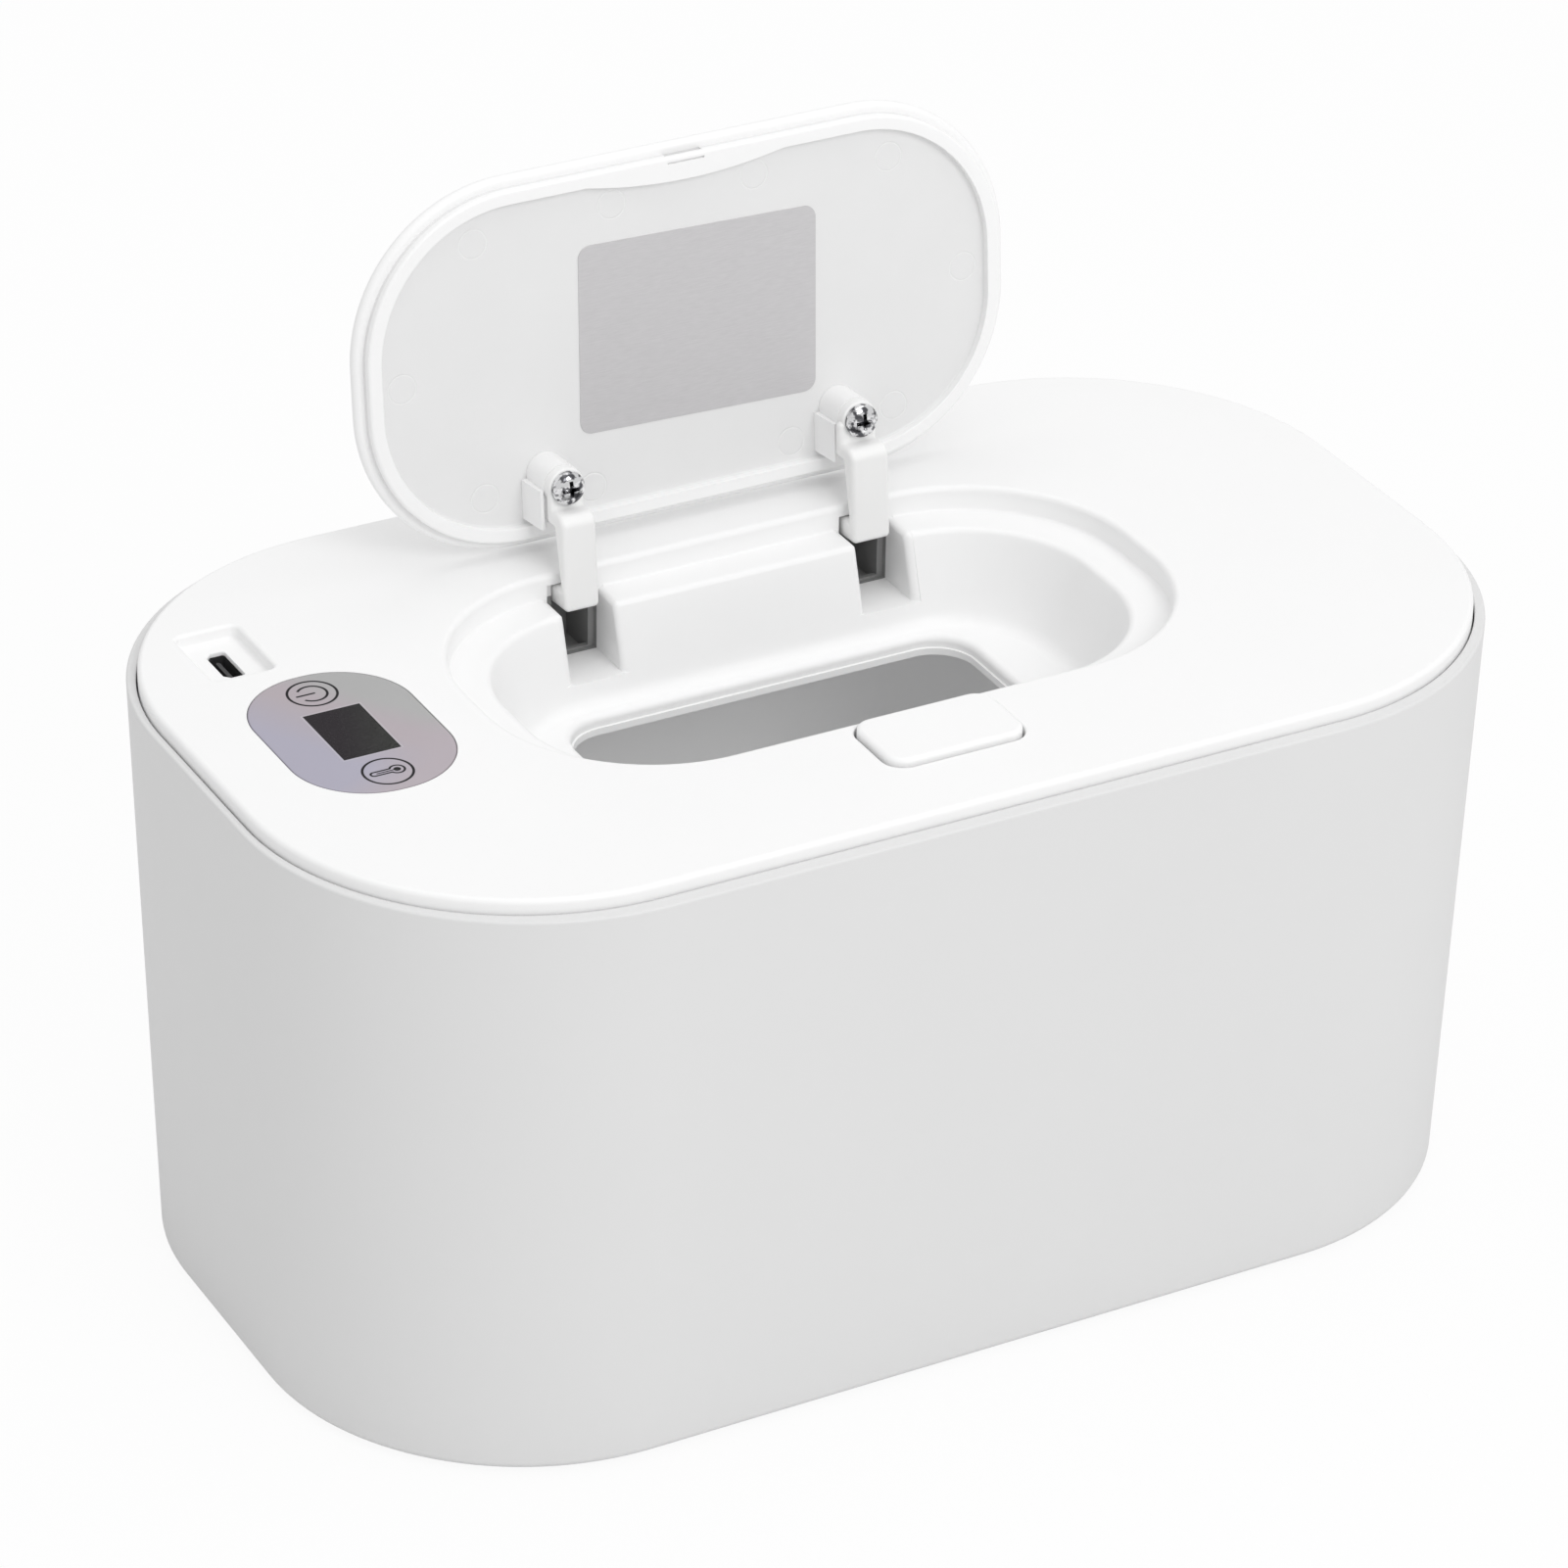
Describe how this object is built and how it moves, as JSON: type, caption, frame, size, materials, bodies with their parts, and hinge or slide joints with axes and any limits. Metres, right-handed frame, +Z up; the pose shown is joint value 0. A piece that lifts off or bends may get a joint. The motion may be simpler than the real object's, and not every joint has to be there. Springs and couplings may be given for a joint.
{
  "type": "baby wipe warmer",
  "caption": "Rounded box with a wipe tank, a lift-off heated cover, a sprung flip lid over a sunk wipe opening, a release button and a touch panel with a number display",
  "frame": {"origin": "on the surface under the feet, at the middle of the footprint", "axes": "+X along the length, with the control panel at -X; -Y is the front, where the release button is; +Z up"},
  "size_m": [0.2, 0.1212, 0.157],
  "materials": {
    "shell_white": "satin moulded plastic",
    "panel_white": "satin moulded plastic",
    "liner_white": "matt moulded plastic",
    "natural_plastic": "slightly milky moulded plastic",
    "base_grey": "matt moulded plastic",
    "tank_grey": "matt moulded plastic",
    "foot_rubber": "matt rubber",
    "foam": "closed-cell foam",
    "seal_silicone": "soft silicone",
    "plate_aluminium": "rolled sheet",
    "film_amber": "smooth film",
    "ceramic": "glazed",
    "black_plastic": "matt plastic",
    "black_wire": "insulated wire",
    "red_wire": "insulated wire",
    "board_green": "coated board",
    "display_black": "smooth display face",
    "lens_mauve": "smooth printed lens",
    "socket_metal": "plated",
    "steel": "plated steel",
    "spring_steel": "drawn wire",
    "screw_chrome": "polished plating",
    "label_silver": "matt silver film"
  },
  "bodies": {
    "base": {"outer_shell": "shell_white", "base_plate": "base_grey", "base_screws": "steel", "rubber_feet": "foot_rubber", "foam_pad": "foam", "foam_sleeve": "foam", "wipe_tank": "tank_grey"},
    "cover": {"top_panel": "panel_white", "inner_cover": "tank_grey", "cover_screws": "steel", "cover_seal": "seal_silicone", "heat_plate": "plate_aluminium", "heater_film": "film_amber", "thermal_fuse": "ceramic", "temperature_sensor": "black_plastic", "heater_leads": "red_wire", "sensor_leads": "black_wire", "control_board": "board_green", "board_screws": "steel", "display_module": "display_black", "touch_springs": "steel", "control_lens": "lens_mauve", "usb_socket": "socket_metal", "usb_tongue": "black_plastic", "usb_board": "board_green", "power_leads": "red_wire", "hinge_pins": "steel", "hinge_springs": "spring_steel", "latch_spring": "spring_steel"},
    "lid": {"lid_skin": "panel_white", "lid_liner": "liner_white", "lid_label": "label_silver", "hinge_arm_left": "natural_plastic", "hinge_arm_right": "natural_plastic", "lid_screws": "screw_chrome"},
    "button": {"release_button": "panel_white"},
    "latch": {"latch_slider": "natural_plastic"}
  },
  "joints": [
    {"name": "cover_lift", "type": "slide", "parent": "base", "child": "cover", "axis": [0, 0, 1], "range_m": [0, 0.06]},
    {"name": "lid_hinge", "type": "hinge", "parent": "cover", "child": "lid", "pos_m": [0, 0.03543, 0.09257], "axis": [1, 0, 0], "range_deg": [0, 95.1], "stiffness_Nm_per_rad": 0.02, "deforming": ["hinge_springs"]},
    {"name": "button_press", "type": "slide", "parent": "cover", "child": "button", "axis": [0, 0, -1], "range_m": [0, 0.0015], "stiffness_N_per_m": 300},
    {"name": "latch_slide", "type": "slide", "parent": "cover", "child": "latch", "axis": [0, -1, 0], "range_m": [0, 0.0015], "stiffness_N_per_m": 300, "deforming": ["latch_spring"]}
  ],
  "couplings": [
    {"joint": "latch_slide", "follows": "button_press", "ratio": 1}
  ]
}
